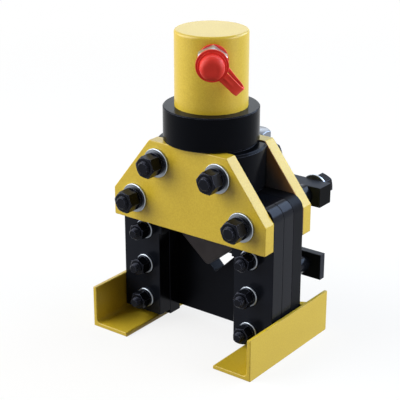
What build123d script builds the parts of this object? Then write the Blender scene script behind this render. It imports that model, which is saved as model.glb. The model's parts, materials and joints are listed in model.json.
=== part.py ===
from build123d import *
import os
from math import cos, pi, radians, sin, sqrt, tan

# Hydraulic angle steel cutter, in millimetres, standing on the floor at z = 0 with +Z up.
# It is drawn about the ram axis (x = y = 0, front towards -Y) and moved at the end, so that
# the origin is the middle of its footprint on the floor.

# Columns: three steel layers bolted face to face on each side of the cutting slot
layer_thickness = 20.0
column_half_width = 109.5
slot_half_width = 55.2
column_top = 188.5
column_foot = 11.0
column_corner_radius = 17.0
guide_lip = 3.6
guide_lip_level = 119.0
bar_edge = 0.5

# Die and blade
die_apex = 70.0
die_angle = 90.0
die_root_radius = 3.0
blade_lift = 17.0
blade_edge_angle = 39.5
blade_nose_radius = 6.0
blade_top_drop = 2.5
blade_side_clearance = 0.25
blade_face_clearance = 0.1
blade_bevel = 3.0
tongue_height = 24.0
tongue_wall = 1.2
blade_pin_dia = 10.0
ram_seat_gap = 0.5

# Side plates
plate_thickness = 17.0
plate_rise = 54.8
plate_top_half_width = 55.0
plate_shoulder_drop = 15.2
plate_foot_gap = 5.4
plate_corner_radius = 1.5
plate_foot_radius = 1.5
plate_edge = 0.6

# Main studs, nuts and washers. Turns are the angle from level to a nut's first corner.
main_dia = 16.0
main_nut_af = 24.0
main_nut_height = 16.0
main_nut_turn = -8.0
bar_nut_turn = 38.0
main_washer_od = 35.0
main_washer_thickness = 3.0
main_lock_od = 27.4
main_lock_thickness = 4.1
main_stud_end = 3.4
upper_bolt_x = 43.6
upper_bolt_drop = 25.5
lower_bolt_drop = 21.3
bolt_inset = 21.8

# Leg studs, nuts and washers. Each nut has come tight at a turn of its own.
leg_dia = 12.0
leg_nut_af = 19.0
leg_nut_height = 12.0
leg_nut_turns = (22.0, 27.0, 15.0, 11.0, 28.0, 0.0)
leg_washer_od = 24.0
leg_washer_thickness = 2.5
leg_lock_od = 21.1
leg_lock_thickness = 2.5
leg_stud_end = 7.0
leg_bolt_margin = 18.9
leg_rows = 3
rest_row = 1

# Washer edges, and the slanting cut through a spring lock washer
washer_edge = 0.8
lock_slit = 1.2
lock_slant = 20.0
lock_turn = 35.0

# Fits
hole_clearance = 0.5
thread_clearance = 0.05
running_clearance = 0.05

# Cylinder seat
seat_wall = 5.6
seat_recess = 1.3
seat_gap = 3.5
seat_chamfer = 2.5
collar_wall = 13.5
collar_height = 40.6
collar_gap = 0.8
collar_undercut = 3.0
collar_chamfer = 1.0
socket_floor = 2.0

# Cylinder, piston and ram
barrel_od = 85.0
barrel_bore = 60.0
barrel_length = 127.0
barrel_cap = 16.0
barrel_edge_radius = 3.0
port_drop = 24.9
oil_gap = 14.0
piston_length = 30.0
piston_clearance = 0.15
piston_seal_width = 6.0
piston_seal_depth = 4.0
rod_dia = 40.0
rod_spigot_dia = 24.0
rod_spigot_length = 20.0
bush_wall = 4.0
bush_length = 24.0
wiper_wall = 3.0
wiper_height = 6.0
spring_wire = 6.0
spring_turns = 6

# Hose coupling, turned this far from straight ahead towards +X
coupler_turn = 37.0
nipple_dia = 17.0
oil_passage = 8.0
nipple_engagement = 9.5
strap_ring_gap = 2.0
coupler_hex_af = 32.0
coupler_hex_length = 14.5
coupler_hex_turn = 25.0
coupler_socket = 11.8
nose_dia = 20.0
nose_length = 16.3
nose_chamfer = 1.8
poppet_dia = 12.0
poppet_length = 10.0
poppet_travel = 3.0
cap_wall = 3.3
cap_gap = 0.3
cap_flange_dia = 36.5
cap_flange_thickness = 3.2
cap_flange_setback = 5.0
cap_bead_width = 2.1
cap_bead_height = 1.0
cap_dome_wall = 7.7
cap_dome_radius = 7.0
strap_width = 12.0
strap_thickness = 2.2
strap_ring_dia = 32.6
strap_ring_push = 1.6
strap_droop = 47.0
strap_reach = 33.0
strap_tab = 2.5

# Stock hold-down behind the rear plate
bar_size = 24.5
bar_standoff = 34.0
bar_end_margin = 23.2
bar_spacer_od = 26.0
screw_dia = 20.0
screw_head_height = 13.0
screw_lift = 38.0
screw_neck_step = 3.0
screw_neck_length = 8.0
shoe_lift = 34.0
shoe_half_width = 14.0
shoe_depth = 20.0
shoe_height = 20.0

# Stock rest below the hold-down
rest_thickness = 10.0
rest_web = 12.0
rest_cover = 15.0
rest_spacer_od = 20.0
rest_nut_height = 7.0
rest_stud_end = 3.5

# Feet
foot_leg = 52.0
foot_thickness = 5.0
foot_length = 163.0
foot_offset = 1.9
foot_side_gap = 2.2
foot_root_radius = 5.0
foot_toe_radius = 2.2
weld_leg = 8.0
foot_screw_dia = 8.0
foot_screw_length = 22.0
foot_screw_pitch = 20.0
foot_screw_head = 15.0
foot_screw_socket = 5.0
small_edge = 0.6

# Levels and places that follow from the sizes above
half_stack = 1.5 * layer_thickness
half_layer = 0.5 * layer_thickness
plate_face = half_stack + plate_thickness
bolt_x = slot_half_width + bolt_inset
plate_top = column_top + plate_rise
plate_shoulder = column_top - plate_shoulder_drop
upper_bolt_z = plate_top - upper_bolt_drop
lower_bolt_z = column_top - lower_bolt_drop
leg_foot_z = column_foot + leg_bolt_margin
leg_pitch = (lower_bolt_z - leg_foot_z) / leg_rows
leg_levels = [lower_bolt_z - leg_pitch * (row + 1) for row in range(leg_rows)]
rest_bolt_z = leg_levels[rest_row]
plain_leg_levels = [z for row, z in enumerate(leg_levels) if row != rest_row]
plate_foot = leg_levels[0] + leg_washer_od / 2 + plate_foot_gap
main_hole = main_dia / 2 + hole_clearance
leg_hole = leg_dia / 2 + hole_clearance

seat_top = plate_top - seat_recess
seat_bottom = column_top + seat_gap
seat_radius = sqrt((upper_bolt_x + main_hole + seat_wall) ** 2 + half_stack ** 2)
collar_bottom = plate_top + collar_gap
collar_top = collar_bottom + collar_height
collar_radius = barrel_od / 2 + collar_wall
barrel_bottom = collar_bottom + socket_floor
barrel_top = barrel_bottom + barrel_length
bore_top = barrel_top - barrel_cap
port_z = barrel_top - port_drop
piston_top = bore_top - oil_gap
piston_bottom = piston_top - piston_length
bush_radius = rod_dia / 2 + bush_wall
bush_top = barrel_bottom - wiper_height
blade_thickness = layer_thickness - 2 * blade_face_clearance
blade_apex = die_apex + blade_lift
blade_shoulder = column_top - blade_top_drop
rod_bottom = blade_shoulder + ram_seat_gap
tongue_top = blade_shoulder + tongue_height
blade_pin_z = blade_shoulder + tongue_height / 2

bar_front = plate_face + bar_standoff
bar_back = bar_front + bar_size
bar_mid = (bar_front + bar_back) / 2
rest_front = bar_mid - rest_thickness / 2
rest_back = rest_front + rest_thickness
main_locked = main_washer_thickness + main_lock_thickness
leg_locked = leg_washer_thickness + leg_lock_thickness
rear_end = bar_back + main_locked + main_nut_height + main_stud_end
foot_outer = column_half_width + foot_side_gap + foot_thickness
foot_front = -foot_length / 2 - foot_offset
footprint_middle = (foot_front + rear_end) / 2

ring_back = barrel_od / 2 + strap_ring_gap
hex_back = ring_back + strap_thickness
hex_front = hex_back + coupler_hex_length
nose_end = hex_front + nose_length
flange_back = hex_front + cap_flange_setback
flange_front = flange_back + cap_flange_thickness
coupler_frame = Plane(
    origin=(0, 0, port_z),
    x_dir=(cos(radians(coupler_turn)), sin(radians(coupler_turn)), 0),
    z_dir=(sin(radians(coupler_turn)), -cos(radians(coupler_turn)), 0),
)
base = (Align.CENTER, Align.CENTER, Align.MIN)


def slab(profile, front, back):
    # A profile drawn in x and z, made solid from y = front to y = back.
    return extrude(Plane.XZ.offset(-back) * profile, back - front)


def upright(radius, low, high):
    return Pos(0, 0, low) * Cylinder(radius, high - low, align=base)


def along_y(shape, x, z, start, turn=0):
    # A shape drawn on +Z, laid along +Y from y = start and turned from +X towards +Z.
    return Pos(x, start, z) * Rot(-90, 0, 0) * Rot(0, 0, -turn) * shape


def turned(points):
    # A closed outline of (radius, height) points, turned about Z.
    return revolve(make_face(Plane.XZ * Polyline(*points, close=True)), Axis.Z)


def bolt_holes(radius, places):
    return [Pos(x, z) * Circle(radius) for x, z in places]


def both_sides(x, levels):
    return [(side * x, z) for z in levels for side in (-1, 1)]


def break_edges(solid, size, axis=Axis.Y):
    # Chamfers the outline of both flat ends of a slab.
    ends = solid.faces().sort_by(axis)
    rims = ends[0].outer_wire().edges() + ends[-1].outer_wire().edges()
    return chamfer(rims, size)


def hex_blank(across_flats, height):
    # A hexagon with both ends turned down to a cone, as nuts and bolt heads are.
    corner = across_flats / sqrt(3)
    face = 0.475 * across_flats
    slope = (corner - face) * tan(radians(30))
    turning = turned(
        [(0, 0), (face, 0), (corner, slope), (corner, height - slope), (face, height), (0, height)]
    )
    flats = extrude(RegularPolygon(across_flats / 2, 6, major_radius=False), height)
    return flats & turning


def nut(across_flats, height, thread):
    return hex_blank(across_flats, height) - Cylinder(thread / 2 + thread_clearance, height, align=base)


def ring(outer, length, bore):
    return extrude(Circle(outer / 2) - Circle(bore / 2), length)


def washer(outer, thickness, thread):
    # A flat washer with its outer edges rounded by the punch.
    disc = ring(outer, thickness, thread + 2 * hole_clearance)
    rims = disc.edges().filter_by(GeomType.CIRCLE).sort_by(lambda edge: edge.radius)[-2:]
    return fillet(rims, washer_edge)


def lock_washer(outer, thickness, thread):
    # A spring ring cut through at a slant, pressed flat.
    slit = Rot(lock_slant, 0, 0) * Box(outer, lock_slit, 3 * thickness)
    return ring(outer, thickness, thread + 2 * hole_clearance) - Pos(outer / 2, 0, thickness / 2) * slit


def stud(dia, length):
    rod = Cylinder(dia / 2, length, align=base)
    return fillet(rod.edges().filter_by(GeomType.CIRCLE), 0.16 * dia)


def group(solids):
    return Compound([piece.solid() for piece in solids])


def at_places(shape, places, start, turns=(0,)):
    # Copies of one fastener along +Y, which take the given turns one after the other.
    return group(
        [along_y(shape, x, z, start, turns[n % len(turns)]) for n, (x, z) in enumerate(places)]
    )


def side_plate(front, back):
    half = [
        (plate_top_half_width, plate_top),
        (column_half_width, plate_shoulder),
        (column_half_width, plate_foot),
    ]
    mirrored = [(-x, z) for x, z in reversed(half)]
    outline = make_face(Polyline(*half, *mirrored, close=True))
    upper = outline.vertices().filter_by(lambda v: v.Y > plate_foot + plate_foot_radius)
    outline = fillet(upper, plate_corner_radius)
    lower = outline.vertices().filter_by(lambda v: v.Y < plate_foot + plate_foot_radius / 2)
    outline = fillet(lower, plate_foot_radius)
    places = both_sides(upper_bolt_x, [upper_bolt_z]) + both_sides(bolt_x, [lower_bolt_z])
    return break_edges(slab(outline - bolt_holes(main_hole, places), front, back), plate_edge)


def column_holes():
    main = bolt_holes(main_hole, both_sides(bolt_x, [lower_bolt_z]))
    return main + bolt_holes(leg_hole, both_sides(bolt_x, leg_levels))


def round_top(outline):
    # Rounds the upper outer corners of a column layer.
    outer = column_half_width - column_corner_radius / 2
    corners = outline.vertices().filter_by(lambda v: v.Y > column_top - 1 and abs(v.X) > outer)
    return fillet(corners, column_corner_radius)


def guide_bar(side):
    lip = slot_half_width - guide_lip
    corners = [
        (slot_half_width, column_foot),
        (column_half_width, column_foot),
        (column_half_width, column_top),
        (lip, column_top),
        (lip, guide_lip_level),
        (slot_half_width, guide_lip_level),
    ]
    outline = make_face(Polyline(*[(side * x, z) for x, z in corners], close=True))
    bar = slab(round_top(outline) - column_holes(), -half_stack, -half_layer)
    return break_edges(bar, bar_edge)


def foot_screw_places():
    inner = foot_outer - foot_leg
    middle = (inner + column_half_width) / 2
    return [middle - foot_screw_pitch / 2, middle + foot_screw_pitch / 2]


def spacer_bar(side):
    # The middle layer reaches down to the foot and is screwed to it. Its lower corner is cut
    # off to clear the foot's root radius.
    corners = [
        (slot_half_width, foot_thickness),
        (column_half_width - foot_root_radius, foot_thickness),
        (column_half_width, foot_thickness + foot_root_radius),
        (column_half_width, column_top),
        (slot_half_width, column_top),
    ]
    outline = make_face(Polyline(*[(side * x, z) for x, z in corners], close=True))
    bar = break_edges(slab(round_top(outline) - column_holes(), -half_layer, half_layer), bar_edge)
    tapped = upright(foot_screw_dia / 2 + thread_clearance, 0, foot_screw_length + foot_thickness)
    return bar - [Pos(side * x, 0, 0) * tapped for x in foot_screw_places()]


def die_plate():
    flank = slot_half_width / tan(radians(die_angle / 2))
    corners = [
        (-column_half_width, column_foot),
        (column_half_width, column_foot),
        (column_half_width, column_top),
        (slot_half_width, column_top),
        (slot_half_width, die_apex + flank),
        (0, die_apex),
        (-slot_half_width, die_apex + flank),
        (-slot_half_width, column_top),
        (-column_half_width, column_top),
    ]
    outline = make_face(Polyline(*corners, close=True))
    root = outline.vertices().sort_by(lambda v: abs(v.X) + abs(v.Y - die_apex))[0]
    outline = round_top(fillet(root, die_root_radius))
    die = slab(outline - column_holes(), half_layer, half_stack)
    # Only the outer edges are broken: those of the slot and the V cut and stay sharp.
    ends = die.faces().sort_by(Axis.Y)
    rims = ends[0].outer_wire().edges() + ends[-1].outer_wire().edges()
    outer = rims.filter_by(lambda e: abs(e.center().X) > bolt_x and e.center().Z > column_foot + bar_edge)
    return chamfer(outer, bar_edge)


def tongue_half_width():
    return sqrt((rod_dia / 2) ** 2 - half_layer ** 2) - tongue_wall


def moving_blade():
    half = slot_half_width - blade_side_clearance
    tongue = tongue_half_width()
    slope = tan(radians(blade_edge_angle))
    # The nose is rounded, so the sharp corner of the outline lies below the real lowest point.
    sharp = blade_apex - blade_nose_radius * (1 / cos(radians(blade_edge_angle)) - 1)
    right = [
        (half, sharp + half * slope),
        (half, blade_shoulder),
        (tongue, blade_shoulder),
        (tongue, tongue_top),
    ]
    mirrored = [(-x, z) for x, z in reversed(right)]
    outline = make_face(Polyline((0, sharp), *right, *mirrored, close=True))
    outline = fillet(outline.vertices().sort_by(Axis.Y)[0], blade_nose_radius)
    outline -= Pos(0, blade_pin_z) * Circle(blade_pin_dia / 2 + running_clearance)
    blade = slab(outline, -blade_thickness / 2, blade_thickness / 2)
    # The front face is ground back along the cutting edges, which stay sharp beside the die.
    front = blade.faces().sort_by(Axis.Y)[0]
    cutting = front.outer_wire().edges().filter_by(
        lambda e: e.center().Z < sharp + half * slope - blade_bevel
    )
    return chamfer(cutting, blade_bevel)


def ram_rod():
    rod = upright(rod_dia / 2, rod_bottom, piston_bottom)
    spigot = upright(rod_spigot_dia / 2, piston_bottom, piston_bottom + rod_spigot_length)
    slot = Box(rod_dia, layer_thickness, tongue_top - rod_bottom, align=base)
    pin_hole = Cylinder(blade_pin_dia / 2 + running_clearance, rod_dia, align=base)
    return rod + spigot - Pos(0, 0, rod_bottom) * slot - along_y(pin_hole, 0, blade_pin_z, -rod_dia / 2)


def blade_pin():
    half = sqrt((rod_dia / 2) ** 2 - (blade_pin_dia / 2) ** 2) - small_edge
    return along_y(Cylinder(blade_pin_dia / 2, 2 * half, align=base), 0, blade_pin_z, -half)


def seal_level():
    return piston_top - (piston_length + piston_seal_width) / 2


def piston():
    radius = barrel_bore / 2 - piston_clearance
    body = upright(radius, piston_bottom, piston_top)
    body = chamfer(body.edges().filter_by(GeomType.CIRCLE), 2 * small_edge)
    groove = upright(radius, seal_level(), seal_level() + piston_seal_width)
    groove -= upright(radius - piston_seal_depth, seal_level(), seal_level() + piston_seal_width)
    spigot = rod_spigot_dia / 2 + thread_clearance
    return body - groove - upright(spigot, piston_bottom, piston_bottom + rod_spigot_length)


def piston_seal():
    outer = barrel_bore / 2 - running_clearance
    inner = barrel_bore / 2 - piston_clearance - piston_seal_depth
    return upright(outer, seal_level(), seal_level() + piston_seal_width) - upright(
        inner, seal_level(), seal_level() + piston_seal_width
    )


def coupler_cylinder(radius, start, end):
    return coupler_frame * Pos(0, 0, start) * Cylinder(radius, end - start, align=base)


def cylinder_barrel():
    barrel = upright(barrel_od / 2, barrel_bottom, barrel_top)
    rim = barrel.edges().filter_by(GeomType.CIRCLE).sort_by(Axis.Z)[-1]
    barrel = fillet(rim, barrel_edge_radius) - upright(barrel_bore / 2, barrel_bottom, bore_top)
    thread_end = barrel_od / 2 - nipple_engagement
    port = coupler_cylinder(nipple_dia / 2 + thread_clearance, thread_end, barrel_od)
    return barrel - port - coupler_cylinder(oil_passage / 2, 0, barrel_od)


def cylinder_seat():
    body = upright(seat_radius, seat_bottom, seat_top)
    rim = body.edges().filter_by(GeomType.CIRCLE).sort_by(Axis.Z)[-1]
    body = chamfer(rim, seat_chamfer)
    body &= Pos(0, 0, seat_bottom) * Box(4 * seat_radius, 2 * half_stack, seat_radius * 4, align=base)
    neck = upright(collar_radius - collar_undercut, seat_top, collar_bottom)
    neck &= Pos(0, 0, seat_top) * Box(4 * seat_radius, 2 * half_stack, seat_radius, align=base)
    collar = upright(collar_radius, collar_bottom, collar_top)
    collar = chamfer(collar.edges().filter_by(GeomType.CIRCLE), collar_chamfer)
    seat = body + neck + collar
    seat -= upright(barrel_od / 2 + thread_clearance, barrel_bottom, collar_top)
    seat -= upright(rod_dia / 2 + wiper_wall, bush_top, barrel_bottom)
    seat -= upright(bush_radius, seat_bottom, bush_top)
    hole = Cylinder(main_hole, 2 * half_stack, align=base)
    return seat - [along_y(hole, side * upper_bolt_x, upper_bolt_z, -half_stack) for side in (-1, 1)]


def guide_bush():
    sleeve = upright(bush_radius - thread_clearance, bush_top - bush_length, bush_top)
    return sleeve - upright(rod_dia / 2 + running_clearance, bush_top - bush_length, bush_top)


def rod_wiper():
    ring = upright(rod_dia / 2 + wiper_wall - thread_clearance, bush_top, barrel_bottom)
    return ring - upright(rod_dia / 2 + running_clearance, bush_top, barrel_bottom)


def biarc(start, start_way, end, end_way):
    # Two tangent arcs from one point and direction to another.
    chord = end - start
    ways = start_way + end_way
    a = 2 * (1 - start_way.dot(end_way))
    b = 2 * chord.dot(ways)
    reach = (-b + sqrt(b * b + 4 * a * chord.dot(chord))) / (2 * a)
    middle = (start + end + (start_way - end_way) * reach) * 0.5
    middle_way = (end - end_way * reach) - (start + start_way * reach)
    return [TangentArc(start, middle, tangent=start_way), TangentArc(middle, end, tangent=middle_way)]


def return_spring():
    # Wound round the rod between the seat and the piston, with its end turns closed up.
    radius = (rod_dia + barrel_bore) / 4
    height = piston_bottom - barrel_bottom - spring_wire
    steps = 4 * spring_turns
    pitch_swing = 0.55 * height / spring_turns

    def point(t):
        turn = 2 * pi * spring_turns * t
        rise = height * t - pitch_swing * sin(2 * pi * t) / 2
        return Vector(radius * cos(turn), radius * sin(turn), barrel_bottom + spring_wire / 2 + rise)

    def way(t):
        return (point(t + 1e-4) - point(t - 1e-4)).normalized()

    arcs = []
    for step in range(steps):
        t, u = step / steps, (step + 1) / steps
        arcs += biarc(point(t), way(t), point(u), way(u))
    samples = [point(n / (24 * spring_turns)) for n in range(24 * spring_turns + 1)]
    gaps = [(samples[n + 24] - samples[n]).length - spring_wire for n in range(len(samples) - 24)]
    print(f"return spring: least gap between turns {min(gaps):.2f} mm")
    section = Plane(origin=point(0), z_dir=way(0)) * Circle(spring_wire / 2)
    return sweep(section, path=Wire(arcs))


def port_nipple():
    start = barrel_od / 2 - nipple_engagement
    end = hex_back + coupler_socket
    return coupler_cylinder(nipple_dia / 2, start, end) - coupler_cylinder(oil_passage / 2, start, end)


def poppet_chamber():
    return nose_end - small_edge - poppet_length - poppet_travel


def hose_coupler():
    body = Rot(0, 0, coupler_hex_turn) * hex_blank(coupler_hex_af, coupler_hex_length)
    nose = Pos(0, 0, coupler_hex_length) * Cylinder(nose_dia / 2, nose_length, align=base)
    tip = nose.edges().filter_by(GeomType.CIRCLE).sort_by(Axis.Z)[-1]
    body = coupler_frame * Pos(0, 0, hex_back) * (body + chamfer(tip, nose_chamfer))
    socket = coupler_cylinder(nipple_dia / 2 + thread_clearance, hex_back, hex_back + coupler_socket)
    passage = coupler_cylinder(oil_passage / 2, hex_back, nose_end)
    chamber = coupler_cylinder(poppet_dia / 2 + running_clearance, poppet_chamber(), nose_end)
    return body - socket - passage - chamber


def coupler_poppet():
    start = poppet_chamber() + poppet_travel
    body = Cylinder(poppet_dia / 2, poppet_length, align=base)
    tip = body.edges().filter_by(GeomType.CIRCLE).sort_by(Axis.Z)[-1]
    return coupler_frame * Pos(0, 0, start) * chamfer(tip, poppet_dia / 4)


def dust_cap():
    # A moulded cup with a rounded end, a bead at its foot and a flange to pull it off by.
    inner = nose_dia / 2 + cap_gap
    outer = inner + cap_wall
    back = hex_front + cap_gap
    dome_foot = flange_front + cap_bead_height
    cup = upright(outer, back, dome_foot + cap_dome_wall + cap_dome_radius)
    cup = fillet(cup.edges().filter_by(GeomType.CIRCLE).sort_by(Axis.Z)[-1], cap_dome_radius)
    bead = upright(outer + cap_bead_width, flange_back, dome_foot)
    bead = fillet(bead.edges().filter_by(GeomType.CIRCLE).sort_by(Axis.Z)[-1], cap_bead_height / 2)
    flange = upright(cap_flange_dia / 2, flange_back, flange_front)
    flange = fillet(flange.edges().filter_by(GeomType.CIRCLE), small_edge)
    tab_length = cap_flange_dia / 2 + strap_tab
    tab = Box(tab_length, strap_width, strap_thickness, align=(Align.MIN, Align.CENTER, Align.MIN))
    cap = cup + bead + flange + Rot(0, 0, -strap_droop) * Pos(0, 0, flange_back) * tab
    hollow = upright(inner, back, nose_end + cap_gap)
    crown = hollow.edges().filter_by(GeomType.CIRCLE).sort_by(Axis.Z)[-1]
    return coupler_frame * (cap - fillet(crown, nose_chamfer))


def cap_strap():
    # A flat band from the cap's tab, out and back in a U to the ring behind the hexagon.
    front = flange_back + strap_thickness
    bend_mid = (ring_back + front) / 2
    bend_outer = (front - ring_back) / 2
    bend_inner = bend_outer - strap_thickness
    start = cap_flange_dia / 2 + strap_tab
    ring_edge = strap_ring_dia / 2
    ring_bore = nipple_dia + 2 * (strap_ring_push + cap_gap)

    def band(radius):
        run = Pos(strap_reach / 2, bend_mid) * Rectangle(strap_reach, 2 * radius)
        return run + Pos(strap_reach, bend_mid) * Circle(radius)

    loop = band(bend_outer) - band(bend_inner)
    above = Rectangle(start, front - bend_mid, align=(Align.MIN, Align.MIN))
    within = Rectangle(ring_edge - strap_thickness, front - ring_back, align=(Align.MIN, Align.MIN))
    loop = loop - Pos(0, bend_mid) * above - Pos(0, ring_back) * within
    strap = extrude(Plane.XZ * loop, strap_width / 2, both=True)
    # The bent band twists a little and pulls its ring sideways on the nipple.
    eye = Pos(0, strap_ring_push, ring_back) * ring(strap_ring_dia, strap_thickness, ring_bore)
    return coupler_frame * Rot(0, 0, -strap_droop) * (strap + eye)


def hold_down_bar():
    half = bolt_x + bar_end_margin
    bar = Box(2 * half, bar_size, bar_size)
    bar = chamfer(bar.edges().filter_by(Axis.X), bar_edge)
    bar = Pos(0, bar_mid, lower_bolt_z) * bar
    hole = Cylinder(main_hole, bar_size, align=base)
    bar -= [along_y(hole, side * bolt_x, lower_bolt_z, bar_front) for side in (-1, 1)]
    thread = Cylinder(screw_dia / 2 + running_clearance, 2 * bar_size)
    return bar - Pos(0, bar_mid, lower_bolt_z) * thread


def shoe_levels():
    low = die_apex + shoe_lift
    return low, low + shoe_height


def hold_down_screw():
    top = shoe_levels()[1]
    under_head = lower_bolt_z + bar_size / 2 + screw_lift
    shank = upright(screw_dia / 2, top, under_head)
    neck = upright(screw_dia / 2 - screw_neck_step, top - screw_neck_length, top)
    head = Pos(0, 0, under_head) * hex_blank(1.5 * screw_dia, screw_head_height)
    return Pos(0, bar_mid, 0) * (shank + neck + Rot(0, 0, 30) * head)


def press_shoe():
    # A wedge that fits the inside corner of the stock and stays still while the screw turns in it.
    low, high = shoe_levels()
    wedge = shoe_half_width / tan(radians(die_angle / 2))
    right = [(shoe_half_width, low + wedge), (shoe_half_width, high)]
    mirrored = [(-x, z) for x, z in reversed(right)]
    outline = make_face(Polyline((0, low), *right, *mirrored, close=True))
    shoe = slab(outline, bar_mid - shoe_depth / 2, bar_mid + shoe_depth / 2)
    socket = upright(screw_dia / 2 - screw_neck_step + running_clearance, high - screw_neck_length, high)
    return shoe - Pos(0, bar_mid, 0) * socket


def stock_rest():
    half = bolt_x + bar_end_margin
    low = die_apex - rest_web
    high = rest_bolt_z + rest_cover
    notch = (high - die_apex) * tan(radians(die_angle / 2))
    right = [(half, low), (half, high), (notch, high)]
    mirrored = [(-x, z) for x, z in reversed(right)]
    outline = make_face(Polyline(*right, (0, die_apex), *mirrored, close=True))
    outline -= bolt_holes(leg_hole, both_sides(bolt_x, [rest_bolt_z]))
    return break_edges(slab(outline, rest_front, rest_back), bar_edge)


def foot(side):
    # An angle section: upright leg outside, flat leg inwards under the column.
    inner = foot_outer - foot_leg
    web = foot_outer - foot_thickness
    corners = [
        (inner, 0),
        (foot_outer, 0),
        (foot_outer, foot_leg),
        (web, foot_leg),
        (web, foot_thickness),
        (inner, foot_thickness),
    ]
    outline = make_face(Polyline(*[(side * x, z) for x, z in corners], close=True))
    root = outline.vertices().sort_by(lambda v: abs(abs(v.X) - web) + abs(v.Y - foot_thickness))[0]
    outline = fillet(root, foot_root_radius)
    toes = outline.vertices().filter_by(
        lambda v: abs(abs(v.X) - web) + abs(v.Y - foot_leg) < small_edge
        or abs(abs(v.X) - inner) + abs(v.Y - foot_thickness) < small_edge
    )
    outline = fillet(toes, foot_toe_radius)
    angle = break_edges(slab(outline, foot_front, foot_front + foot_length), small_edge)
    # A weld bead in the corner behind the column.
    bead = [(web, half_stack), (web, half_stack + weld_leg), (column_half_width - weld_leg, half_stack)]
    arc = RadiusArc(bead[1], bead[2], -1.6 * weld_leg)
    bead_face = make_face([Line(bead[2], bead[0]), Line(bead[0], bead[1]), arc])
    weld = extrude(Pos(0, 0, column_foot) * bead_face, foot_leg - column_foot - small_edge)
    angle += weld if side > 0 else mirror(weld, Plane.YZ)
    return angle - [Pos(side * x, 0, 0) * screw_recess() for x in foot_screw_places()]


def screw_recess():
    hole = upright(foot_screw_dia / 2 + hole_clearance, 0, foot_thickness)
    return hole + screw_cone(foot_screw_head / 2 + hole_clearance, foot_screw_dia / 2 + hole_clearance)


def screw_cone(large, small):
    return turned([(0, 0), (large, 0), (small, large - small), (0, large - small)])


def foot_screw(x):
    head = screw_cone(foot_screw_head / 2, foot_screw_dia / 2)
    shank = upright(foot_screw_dia / 2, 0, foot_screw_length)
    socket = extrude(RegularPolygon(foot_screw_socket / 2, 6, major_radius=False), foot_screw_socket / 2)
    lift = hole_clearance / 2
    return Pos(x, 0, lift) * (head + shank - socket)


def main_fasteners():
    # Four studs through the plates. The lower two go on to the hold-down bar behind them.
    upper = both_sides(upper_bolt_x, [upper_bolt_z])
    lower = both_sides(bolt_x, [lower_bolt_z])
    nut_shape = nut(main_nut_af, main_nut_height, main_dia)
    flat = washer(main_washer_od, main_washer_thickness, main_dia)
    lock = lock_washer(main_lock_od, main_lock_thickness, main_dia)
    spacer = ring(bar_spacer_od, bar_standoff, main_dia + 2 * hole_clearance)
    front_nut = -plate_face - main_locked - main_nut_height
    rear_nut = plate_face + main_washer_thickness
    front_end = front_nut - main_stud_end
    upper_end = rear_nut + main_nut_height + main_stud_end
    return {
        "upper_studs": at_places(stud(main_dia, upper_end - front_end), upper, front_end),
        "lower_studs": at_places(stud(main_dia, rear_end - front_end), lower, front_end),
        "front_main_nuts": at_places(nut_shape, upper + lower, front_nut, [main_nut_turn]),
        "front_main_locks": at_places(lock, upper + lower, -plate_face - main_locked, [lock_turn]),
        "front_main_washers": at_places(flat, upper + lower, -plate_face - main_washer_thickness),
        "rear_main_nuts": at_places(nut_shape, upper, rear_nut, [main_nut_turn]),
        "rear_main_washers": at_places(flat, upper, plate_face),
        "bar_spacers": at_places(spacer, lower, plate_face),
        "bar_washers": at_places(flat, lower, bar_back),
        "bar_locks": at_places(lock, lower, bar_back + main_washer_thickness, [lock_turn]),
        "bar_nuts": at_places(nut_shape, lower, bar_back + main_locked, [bar_nut_turn]),
    }


def leg_fasteners():
    # Three studs down each column. Those of one row go on to the stock rest behind them.
    plain = both_sides(bolt_x, plain_leg_levels)
    resting = both_sides(bolt_x, [rest_bolt_z])
    nut_shape = nut(leg_nut_af, leg_nut_height, leg_dia)
    thin_nut = nut(leg_nut_af, rest_nut_height, leg_dia)
    flat = washer(leg_washer_od, leg_washer_thickness, leg_dia)
    lock = lock_washer(leg_lock_od, leg_lock_thickness, leg_dia)
    spacer = ring(rest_spacer_od, rest_front - half_stack, leg_dia + 2 * hole_clearance)
    front_nut = -half_stack - leg_locked - leg_nut_height
    rear_nut = half_stack + leg_washer_thickness
    rest_nut = rest_back + leg_washer_thickness
    front_end = front_nut - leg_stud_end
    short = stud(leg_dia, rear_nut + leg_nut_height + leg_stud_end - front_end)
    long = stud(leg_dia, rest_nut + rest_nut_height + rest_stud_end - front_end)
    return {
        "short_leg_studs": at_places(short, plain, front_end),
        "long_leg_studs": at_places(long, resting, front_end),
        "front_leg_nuts": at_places(nut_shape, plain + resting, front_nut, leg_nut_turns),
        "front_leg_locks": at_places(lock, plain + resting, -half_stack - leg_locked, [lock_turn]),
        "front_leg_washers": at_places(flat, plain + resting, -half_stack - leg_washer_thickness),
        "rear_leg_nuts": at_places(nut_shape, plain, rear_nut, leg_nut_turns),
        "rear_leg_washers": at_places(flat, plain, half_stack),
        "rest_spacers": at_places(spacer, resting, half_stack),
        "rest_washers": at_places(flat, resting, rest_back),
        "rest_nuts": at_places(thin_nut, resting, rest_nut),
    }


def foot_screws():
    return group([foot_screw(side * x) for side in (-1, 1) for x in foot_screw_places()])


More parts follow.
